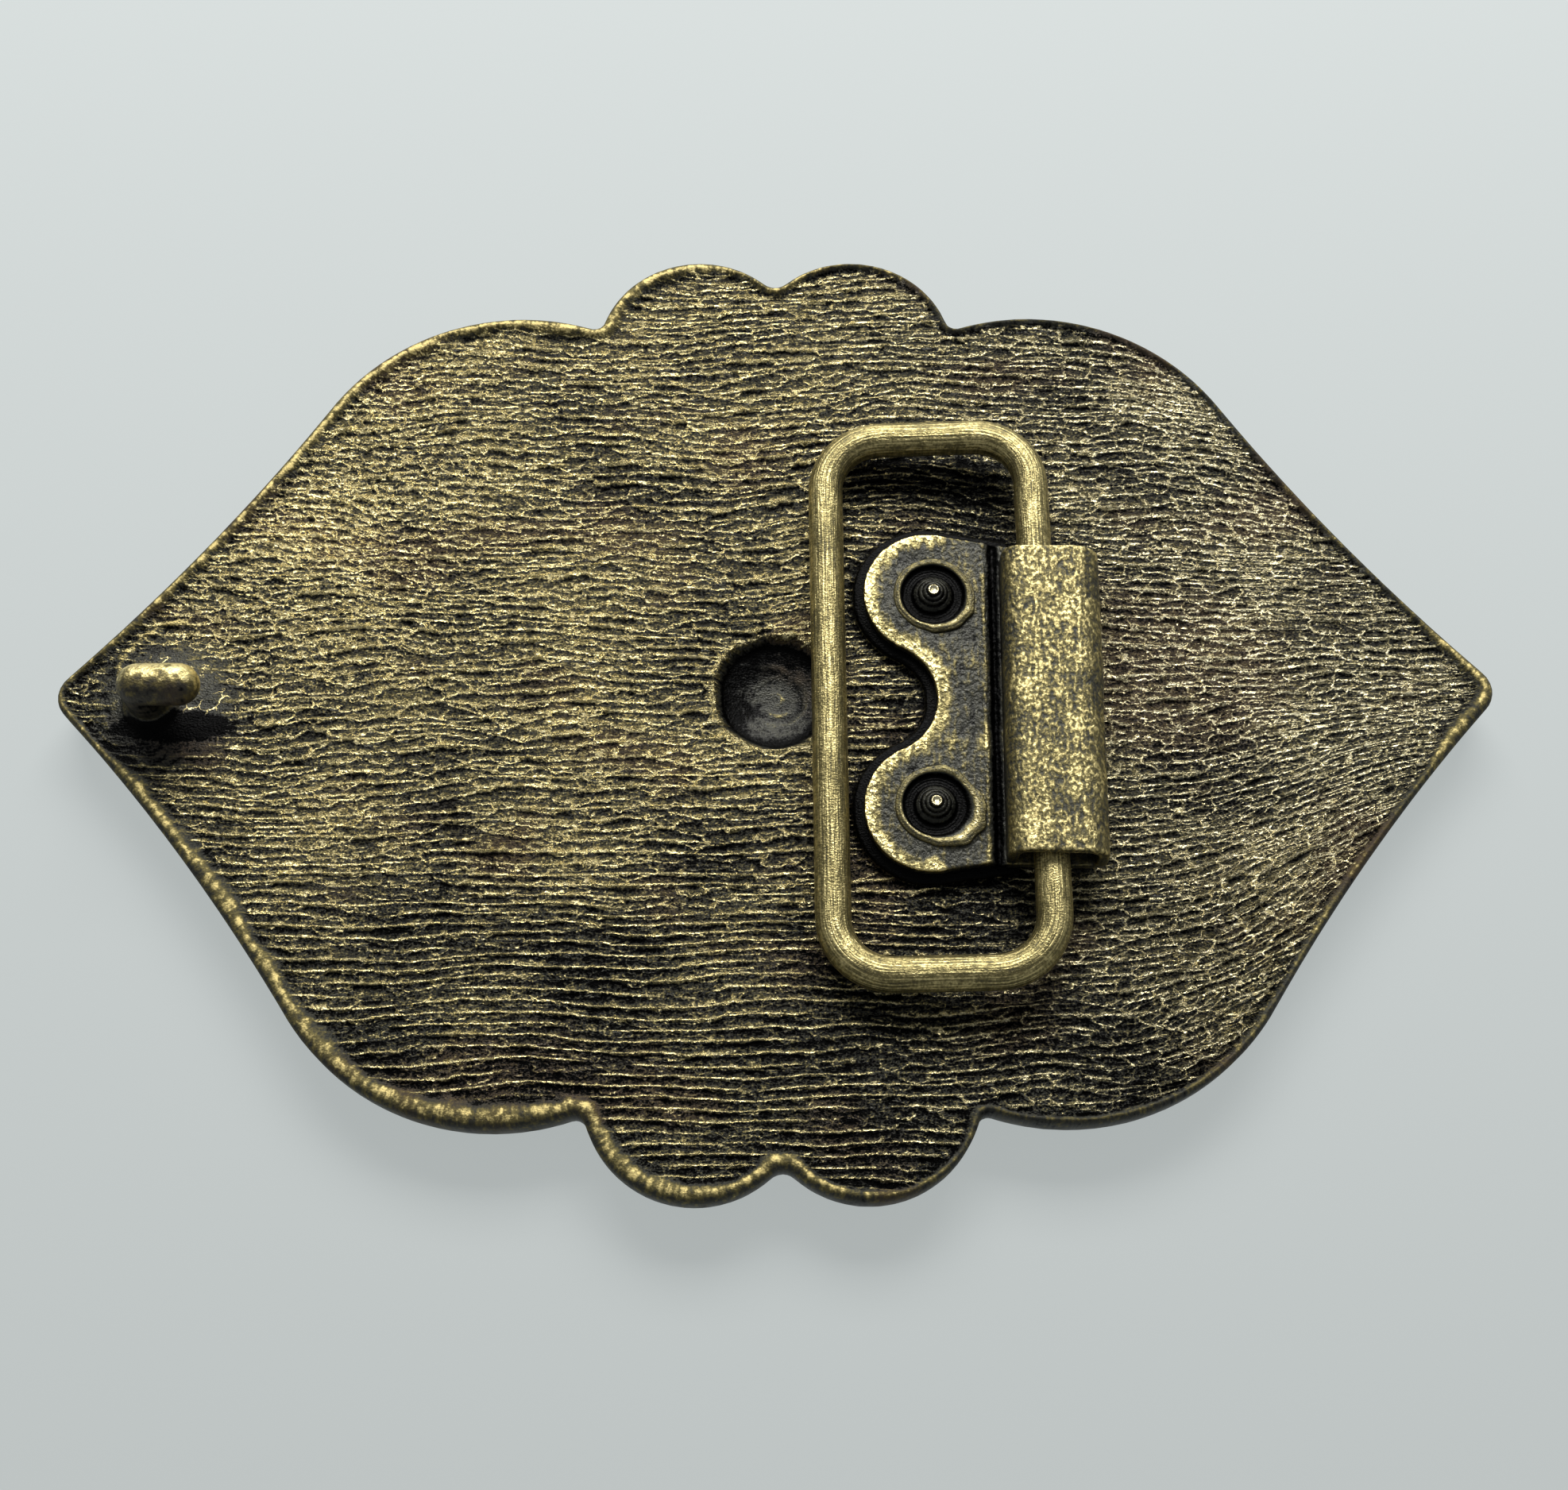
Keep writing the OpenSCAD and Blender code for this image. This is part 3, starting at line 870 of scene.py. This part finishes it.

# %% [markdown]
# Then come the tones, which say how much brass shows through where. The rim is smooth brass with
# short marks across it, darker at the right. The hook is patchy gold, painted lighter on its side
# towards the lamp and darker on the side away from it. A few thin cracks run out from it, and the
# tarnish has darker and redder stains. Painted shadows lie below the hook and below the bail's top
# bar, and the pad round the bracket is painted black as shade.

# %% Tones of the plate
DARK_SPOTS = [
    ((-12.1, 16.3), (5.0, 3.2)), ((-24.9, -10.4), (3.6, 3.0)), ((-13.0, -20.7), (6.0, 4.0)),
    ((-6.0, -12.2), (4.0, 3.0)), ((32.8, -6.6), (6.5, 5.0)),
]
marks = pen.noise(along_edge, pen.add(px, pz), 3.4, 0.6, shift=3.0)
rim_tone = pen.weigh(
    0.11, (marks, 0.35), (left, pen.smooth(py, -4, 8), 0.08), (middle_right, -0.10), (out, -0.18),
    (speckles, 0.5))
# Painted light and shade on the hook: its side towards the lamp is lighter and the side away from it
# darker, over a real patchy tone.
hook_tone_and_painted_light = pen.weigh(
    -0.20, (pen.smooth(py, HOOK_Y - 1.2, HOOK_Y + 0.6), 0.33),
    (pen.noise(px, py, 1.5, 1.9, detail=3.0, z=pz), 0.9))
cracks = pen.shingles(pen.weigh(px, (speckles, 1.2)), pen.add(py, speckles), 1.3, 1.1)[1]
some = pen.smooth(pen.noise(px, py, 0.5, 0.6, shift=91.0), -0.04, 0.06)
cracks = pen.times(
    pen.smooth(cracks, 0.06, 0.01), some, patch(pen, px, py, (-42.5, 1.0), (8.0, 6.5)), ground)
large = pen.noise(px, py, 0.10, 0.14, shift=12.0)
stains = pen.smooth(clouds, 0.10, 0.24)
dark_spots = pen.add(*[patch(pen, px, py, at, size) for at, size in DARK_SPOTS])
reddish = pen.most(
    pen.smooth(pen.noise(px, py, 0.09, 0.12, detail=3.0, shift=5.0), 0.02, 0.22),
    patch(pen, px, py, (30.0, 1.5), (11.0, 9.0)))
places = pen.weigh(
    0.0, (large, 0.45), (left, 0.15), (low_left, -0.09), (bottom, -0.14), (right, 0.09),
    (foil, 0.12), (high_right, 0.04), (by_hook, -0.10), (painted_bar_shadow, -0.22), (dark_spots, -0.13))

# %% The plate's finish
_, crest, plain = wrinkles(pen, px, py)
rough_skin = pen.weigh(0.25, (field, 0.90))
# In this amount the pad and the patch below the hook are painted black as shade.
amount = pen.weigh(
    0.04, (crest, field, pen.weigh(0.65, (right, 0.12), (foil, 0.4))), (out, 0.30),
    (fine_spots, rough_skin), (speckles, 0.35), (places, pen.less(1.0, rim)), (rim, rim_tone),
    (hook, hook_tone_and_painted_light), (dimple, -0.09), (dimple, pen.smooth(off_middle, 1.6, 3.8), -0.22),
    (cracks, 0.55), (painted_hook_shadow, -0.9), (pen.smooth(pz, 4.3, 4.6), 0.20), (stains, -0.16),
    (in_window, -0.15), (pad, -0.8))
paler = pen.weigh(0.14, (pen.smooth(px, -5, 36), 0.55), (speckles, 1.0))
paler = pen.times(paler, pen.less(1.0, pen.most(rim, hook)))
rougher = pen.weigh(0.0, (foil, -0.10), (hook, 0.18), (rim, 0.42), (speckles, 0.25))
redder = pen.weigh(0.0, (reddish, 0.55), (hook, 0.14))
finish(pen, shader, amount, 0.34, 0.60, rougher, paler, redder)
fine_relief = pen.weigh(
    0.0, (plain, field, 5.4), (fine_spots, rough_skin, 2.2), (marks, rim, 0.12),
    (fine_spots, foil, field, 4.0))
bump(pen, shader, fine_relief, 0.10)
plate.data.materials.clear()
plate.data.materials.append(cast_brass)
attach(plate, "plate")
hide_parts("plate")

# %% [markdown]
# ## The post heads
# Two posts of the plate pass through the bracket. A ring punch has spread each one: it leaves a
# lip, a deep ring groove and a stepped point. A round form like this is one profile spun about its
# axis. The punch hit a little off centre, so each lip is then pushed out towards the lower right.

# %% Spin a profile into a post head
HEAD_PROFILE = [
    (0, -0.75), (2.5, -0.75), (2.5, 0.02), (2.86, 0.03), (2.98, 0.14), (2.95, 0.30), (2.80, 0.40),
    (2.62, 0.40), (2.48, 0.30), (2.38, 0.06), (2.30, -0.16), (2.16, -0.24), (1.66, -0.26),
    (1.52, -0.20), (1.44, 0.02), (1.34, 0.14), (1.14, 0.18), (1.09, 0.30), (1.05, 0.44),
    (0.98, 0.50), (0.84, 0.52), (0.79, 0.60), (0.75, 0.68), (0.68, 0.73), (0.52, 0.75),
    (0.47, 0.84), (0.43, 0.95), (0.35, 1.00), (0.27, 0.99), (0.18, 0.90), (0, 0.84),
]


def post_head(name, side, pushes):
    """A punched head. A push is its direction and width in degrees, its reach and raggedness."""
    cx, cy = on_plate([(-3.3, side * 8.35)])[0]
    mesh = bpy.data.meshes.new(name)
    points = [((cx + r) * MM, cy * MM, (LEAF_Z + h) * MM) for r, h in HEAD_PROFILE]
    mesh.from_pydata(points, [(i, i + 1) for i in range(len(points) - 1)], [])
    obj = new_object(name, mesh)
    edit_whole(obj, lambda: bpy.ops.mesh.spin(
        steps=96, angle=2 * math.pi, center=(cx * MM, cy * MM, 0), axis=(0, 0, 1)), weld=0.002)
    co = corners_of(obj)
    dx, dy = co[:, 0] - cx, co[:, 1] - cy
    r, turned = np.hypot(dx, dy), np.arctan2(dy, dx)
    lip = step_up(2.3, 2.7, r) * step_up(-0.1, 0.1, co[:, 2] - LEAF_Z)
    grown, pushed = r.copy(), np.zeros(len(co))
    for degrees, width, reach, ragged in pushes:
        away = half_turn(turned - math.radians(degrees))
        part = bell(away, 0, math.radians(width))
        torn = 1 + ragged * soft_noise(turned * 3, r * 0, 0.7, 11)
        grown += lip * part * reach * torn
        pushed = np.maximum(pushed, part)
    co[:, 2] -= lip * (0.22 - 0.14 * pushed)
    grown += 0.03 * lip * soft_noise(turned * 3, r, 0.9, 12)
    scale = np.where(r > 1e-6, grown / np.maximum(r, 1e-6), 1)
    co[:, 0], co[:, 1] = cx + dx * scale, cy + dy * scale
    rough = soft_noise(co[:, 0], co[:, 1], 0.7, 13) * step_up(1.2, 2.4, r)
    co[:, 2] += 0.03 * rough * step_up(-0.3, 0, co[:, 2] - LEAF_Z)
    put_corners(obj, co)
    store(obj, "from_axis", r)
    modify(obj, "SUBSURF", levels=1, render_levels=1)
    modify(obj, "NODES", node_group=stand_out_tree(name + "_edges", 4, 0.05))
    shade_smooth(obj)
    print(name, "has", len(obj.data.polygons), "faces")
    return obj


upper_pushes = [(-35, 40, 0.35, 0.5), (-75, 18, 0.25, 0.9)]
lower_pushes = [(-20, 42, 0.75, 0.3), (-62, 28, 0.45, 0.5), (70, 14, 0.2, 0.9)]
heads = [
    post_head("upper_post_head", 1, upper_pushes), post_head("lower_post_head", -1, lower_pushes)]

# %% [markdown]
# The heads' flat lips are rubbed brass. Their grooves and stepped columns are painted dark, partly
# as tarnish and partly as painted shade of the deep recess, and the point is rubbed bright and
# carries a painted highlight.

# %% The heads' finish
post_brass, pen, shader, _, (fine_spots, speckles, _) = metal("post_brass", 3.0)
out, ring = attribute(pen, "stands_out"), attribute(pen, "from_axis")
rings = pen.math("SINE", pen.times(pen.weigh(ring, (fine_spots, 0.08)), 22.0))
# Painted highlight on the point, and painted shade in the groove and on the column, each partly real
# wear or tarnish too.
point = pen.smooth(ring, 0.5, 0.2)
groove = pen.band(ring, 1.35, 1.6, 2.35, 2.55)
inner_line = pen.band(ring, 2.42, 2.5, 2.56, 2.64)
column = pen.band(ring, 0.3, 0.5, 1.4, 1.6)
amount = pen.weigh(
    -0.04, (out, 0.35), (speckles, 0.8), (fine_spots, 0.5), (inner_line, 0.30), (point, 1.0),
    (rings, pen.smooth(ring, 1.5, 1.3), 0.11), (groove, -0.8), (column, -0.50))
finish(pen, shader, amount, 0.26, 0.80, pen.times(speckles, 0.3), 0.6)
shader.inputs["Specular IOR Level"].default_value = 0.3
bump(pen, shader, pen.weigh(fine_spots, (rings, 0.2)), 0.05)
for head in heads:
    head.data.materials.append(post_brass)
    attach(head, "plate")

# %% [markdown]
# ## The stamped bracket
# The bracket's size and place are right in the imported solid, but its edges are knife sharp. A copy
# of it is merged, remeshed and smoothed, so that the edges round over. Then it gets the slight
# waves and the pressed crease that stamping leaves.

# %% Round and dent the bracket
def across_bracket(co):
    """How far each corner lies to the right of the bracket's middle, along its own width."""
    dx, dy = co[:, 0] - BRACKET_AT[0], co[:, 1] - BRACKET_AT[1]
    return dx * math.cos(ASKEW) + dy * math.sin(ASKEW)


def copy_of(node, name):
    """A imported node's mesh as a new piece, with its loose triangles merged."""
    obj = new_object(name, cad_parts[node].data.copy())
    edit_whole(obj, weld=0.001)
    obj.data.materials.clear()
    return obj


bracket = copy_of("bracket", "hinge_bracket")
SHEET_VOXEL = 0.11
modify(bracket, "REMESH", mode="VOXEL", voxel_size=SHEET_VOXEL * MM, use_smooth_shade=True)
modify(bracket, "SMOOTH", factor=0.5, iterations=6)
co = corners_of(bracket)
x, y, z = co.T
wave = 0.05 * soft_noise(x, y, 3.0, 21) + 0.03 * soft_noise(x, y, 1.3, 22)
across = across_bracket(co)
crease = 0.09 * bell(across, 0.5, 0.18) - 0.40 * bell(across, 1.25, 0.30)
crease *= step_up(5.3, 5.45, z) * step_up(5.9, 5.6, z)
barrel = step_up(1.6, 2.2, across)
dent = 0.045 * soft_noise(x, y, 4.0, 23) + 0.025 * soft_noise(x, y, 1.2, 24) - 0.02
dent *= step_up(8.0, 8.7, z)
co[:, 2] += np.where(z > 5.2, wave, 0) * (1 - barrel) + crease + dent * barrel
co[:, 0] += 0.09 * soft_noise(x * 0, y, 3.5, 25) * step_up(4.5, 6.5, across) * step_up(5.0, 6.5, z)
put_corners(bracket, co)
modify(bracket, "NODES", node_group=stand_out_tree("bracket_edges", 10, 0.07))
thin_out(bracket, 90000)
co = corners_of(bracket)
near_edge = np.full(len(co), 9.0)
for point in on_plate(leaf_points(0, 3, LEAF_HALF)):
    near_edge = np.minimum(near_edge, np.hypot(co[:, 0] - point[0], co[:, 1] - point[1]))
across, top = across_bracket(co), co[:, 2]
margin = step_up(1.5, 0.5, near_edge) * step_up(1.0, 0.0, across) * step_up(5.2, 5.4, top)
store(bracket, "margin", margin)
# The groove marks the crease, which the finish paints black as shade.
store(bracket, "groove", bell(across, 1.2, 0.38) * step_up(6.6, 6.0, top))
store(bracket, "ridge", bell(across, 0.45, 0.38) * step_up(6.6, 6.0, top))
store(bracket, "turned", across)
shade_smooth(bracket)

# %% [markdown]
# The barrel is rubbed to a mottled gold by the belt, while the leaf under the bail is darker, with
# bright edges. The crease beside the barrel is painted black as shade, and two lengthwise bands on
# the barrel are painted highlights. The mottling is a fine noise with a hard threshold, as worn
# plating has.

# %% The bracket's finish
sheet_brass, pen, shader, (px, py, pz), (_, speckles, clouds) = metal("sheet_brass", 15.0)
streak = pen.noise(px, py, 2.2, 0.35, detail=3.0, shift=8.0)
on_barrel = pen.smooth(pz, 6.2, 8.4)
turned = attribute(pen, "turned")
chips = pen.noise(px, py, 4.2, 3.0, detail=5.0, shift=21.0, z=pz)
# Painted highlights: two lengthwise brighter bands across the barrel's width.
left_painted_highlight = pen.band(turned, 1.9, 3.4, 3.8, 5.2)
right_painted_highlight = pen.band(turned, 5.4, 6.4, 7.2, 8.2)
amount = pen.weigh(
    -0.24, (attribute(pen, "stands_out"), 0.30), (speckles, 0.8), (clouds, 0.8),
    (chips, pen.weigh(0.5, (on_barrel, 0.3))), (on_barrel, 0.26), (left_painted_highlight, 0.12),
    (right_painted_highlight, 0.10), (pen.smooth(chips, -0.04, 0.06), pen.weigh(0.08, (on_barrel, 0.14))),
    (streak, pen.weigh(0.9, (on_barrel, -0.2))), (attribute(pen, "margin"), 0.60),
    (attribute(pen, "groove"), -0.9), (attribute(pen, "ridge"), 0.12))
finish(pen, shader, amount, 0.20, 0.66, pen.weigh(0.0, (speckles, 0.3), (on_barrel, 0.15)))
bump(pen, shader, pen.weigh(speckles, (chips, 1.0), (streak, 0.6)), 0.12)
bracket.data.materials.append(sheet_brass)
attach(bracket, "plate")
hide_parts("bracket")

# %% [markdown]
# ## The wire bail
# The bail is one length of drawn wire bent into a rounded rectangle and closed inside the barrel.
# A circle is extruded along each side and spun round each corner, just as the wire was bent.

# %% Bend the wire
WIRE_R, REACH, WIDTH, BEND = 1.3, 15.6, 42.2, 4.2
ROD_X, ROD_Y, ROD_Z, BAR_Z = 19.25, -1.0, 6.92, 5.85
bpy.ops.mesh.primitive_circle_add(
    vertices=48, radius=WIRE_R * MM, location=(0, (BEND - WIDTH / 2) * MM, 0),
    rotation=(math.pi / 2, 0, 0))
bail = bpy.context.object
bail.name = "wire_bail"
settle(bail)


def bend_wire():
    """Pulls the circle along each side of the bail and spins it round each corner."""
    heading, here = Vector((0, 1, 0)), Vector((0, BEND - WIDTH / 2, 0))
    for length in (WIDTH - 2 * BEND, REACH - 2 * BEND) * 2:
        steps = round(length / 1.2)
        pull = {"value": heading * (length / steps * MM)}
        for _ in range(steps):
            bpy.ops.mesh.extrude_region_move(TRANSFORM_OT_translate=pull)
        inward = Vector((-heading.y, heading.x, 0))
        centre = here + heading * length + inward * BEND
        bpy.ops.mesh.spin(steps=14, angle=-math.pi / 2, center=centre * MM, axis=(0, 0, 1))
        heading, here = inward, centre + heading * BEND


edit_whole(bail, bend_wire, weld=0.005)
co = corners_of(bail)
print("bail bent:", len(bail.data.polygons), "faces, box", co.min(0).round(2), co.max(0).round(2))

# %% [markdown]
# Drawn wire has fine lines along its length, so the finish needs to know which way the wire runs.
# Each corner of the mesh keeps two numbers: how far along the wire it lies and how far round it.

# %% Measure along and round the wire, and put the bail in its place
half_x, half_y = REACH / 2 - BEND, WIDTH / 2 - BEND
fx, fy = np.abs(co[:, 0] + REACH / 2), np.abs(co[:, 1])
qx, qy = np.maximum(fx - half_x, 0), np.maximum(fy - half_y, 0)
off = np.hypot(qx, qy) - BEND
corner_turn = np.arctan2(qy, np.maximum(qx, 1e-9))
along = np.where(fy <= half_y, fy, half_y + BEND * corner_turn + np.maximum(half_x - fx, 0))
store(bail, "along", along)
store(bail, "round", np.arctan2(co[:, 2], off))
x, y, _ = co.T
co[:, 2] *= 1 + 0.012 * soft_noise(x, y, 2.6, 31) + 0.006 * soft_noise(x, y, 0.9, 32)
tilt = math.asin((ROD_Z - BAR_Z) / REACH)
put_corners(bail, co)
bail.rotation_euler = (0, -tilt, 0)
bail.location = Vector((ROD_X, ROD_Y, ROD_Z)) * MM
settle(bail)
modify(bail, "SUBSURF", levels=1, render_levels=1)
shade_smooth(bail)

# %% The bail's finish
wire_brass, pen, shader, _, (fine_spots, speckles, clouds) = metal("wire_brass", 27.0)
lines = pen.noise(attribute(pen, "along"), attribute(pen, "round"), 0.30, 9.0, detail=5.0)
amount = pen.weigh(0.47, (speckles, 0.9), (fine_spots, 0.8), (clouds, 0.6), (lines, 1.6))
finish(pen, shader, amount, 0.24, 0.98, pen.weigh(0.03, (lines, 0.3)))
bump(pen, shader, pen.weigh(lines, (fine_spots, 0.8)), 0.06)
bail.data.materials.append(wire_brass)
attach(bail, "bail")
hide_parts("bail")

# %% [markdown]
# ## Measure and finish
# Both boxes are given at the end: the imported model's and the dressed model's. The
# dressed model must not outgrow the imported one.

# %% The boxes
def plain(box):
    return [list(corner) for corner in box]


{"cad": plain(cad_box), "visual": plain(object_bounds())}
